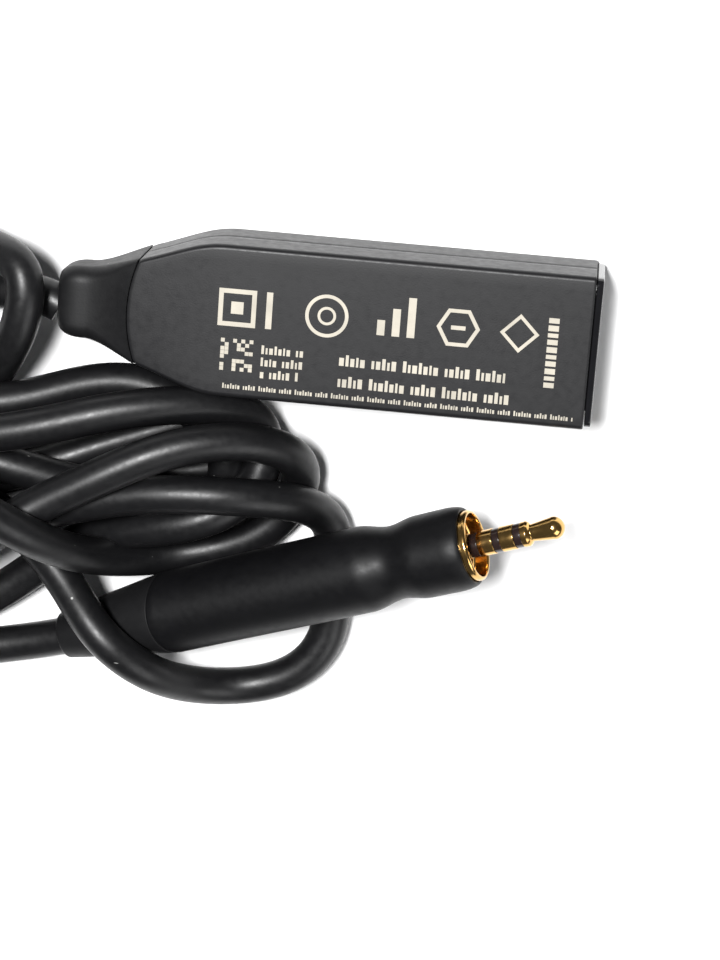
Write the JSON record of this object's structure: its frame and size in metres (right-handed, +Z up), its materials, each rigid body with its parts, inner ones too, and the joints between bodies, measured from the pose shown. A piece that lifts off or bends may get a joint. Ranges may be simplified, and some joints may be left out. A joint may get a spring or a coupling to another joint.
{
  "type": "in-line headset sound adapter with cord and jack plug",
  "caption": "Slim black in-line sound adapter box with a push button, a micro-USB end and a coiled soft cord that ends in a small gold jack plug.",
  "frame": {"origin": "on the surface the box lies on, under the middle of the box with its cord boot; the cord, coil and plug are not counted", "axes": "+X along the box towards the socket end, +Z up through the label face, +Y across the box away from the coil"},
  "size_m": [0.1075, 0.0532, 0.0154],
  "materials": {
    "shell_plastic": "fine-grained matte black moulded plastic",
    "cap_plastic": "polished black plastic",
    "boot_rubber": "matte black moulded rubber with dust specks",
    "cord_rubber": "satin black soft jacket with broad highlights and lint",
    "plug_rubber": "soft satin black moulded grip",
    "button_plastic": "satin black",
    "window_plastic": "frosted clear light pipe",
    "gold_contact": "polished gold plating",
    "insulator": "near-black moulded rings",
    "label_print": "thin pale silver-champagne print",
    "steel_sheet": "plated sheet steel",
    "board": "green solder mask with copper tracks",
    "chip": "moulded black epoxy",
    "capacitor_ceramic": "tan ceramic with tinned ends",
    "can_metal": "satin metal lid",
    "lamp": "pale resin",
    "wire_red": "thin wire insulation",
    "wire_white": "thin wire insulation",
    "wire_green": "thin wire insulation",
    "wire_copper": "enamelled copper"
  },
  "bodies": {
    "box": {"label_shell": "shell_plastic", "button_shell": "shell_plastic", "end_cap": "cap_plastic", "cable_boot": "boot_rubber", "cord_root": "cord_rubber", "cord_crimp": "steel_sheet", "circuit_board": "board", "audio_chip": "chip", "usb_controller": "chip", "crystal_can": "can_metal", "voltage_regulator": "chip", "surge_array": "chip", "ferrite_bead": "chip", "capacitor_1": "capacitor_ceramic", "capacitor_2": "capacitor_ceramic", "capacitor_3": "capacitor_ceramic", "capacitor_4": "capacitor_ceramic", "lead_wire_1": "wire_red", "lead_wire_2": "wire_white", "lead_wire_3": "wire_green", "lead_wire_4": "wire_copper", "usb_socket_shell": "steel_sheet", "usb_tongue": "chip", "usb_contacts": "gold_contact", "tact_switch_body": "chip", "light_window": "window_plastic", "status_led": "lamp", "plug_tail_boot": "boot_rubber", "plug_cord_root": "cord_rubber", "plug_barrel": "plug_rubber", "plug_core": "insulator", "plug_collar": "gold_contact", "jack_sleeve": "gold_contact", "jack_insulator_rear": "insulator", "jack_ring_rear": "gold_contact", "jack_insulator_middle": "insulator", "jack_ring_front": "gold_contact", "jack_insulator_front": "insulator", "jack_tip": "gold_contact", "cord_exit": "cord_rubber", "cord_loop": "cord_rubber", "cord_tail": "cord_rubber", "cord_coil": "cord_rubber"},
    "button": {"mode_button": "button_plastic", "switch_plunger": "button_plastic"}
  },
  "joints": [
    {"name": "button_press", "type": "slide", "parent": "box", "child": "button", "axis": [0, 0, 1], "range_m": [0, 0.0003], "stiffness_N_per_m": 1500}
  ]
}
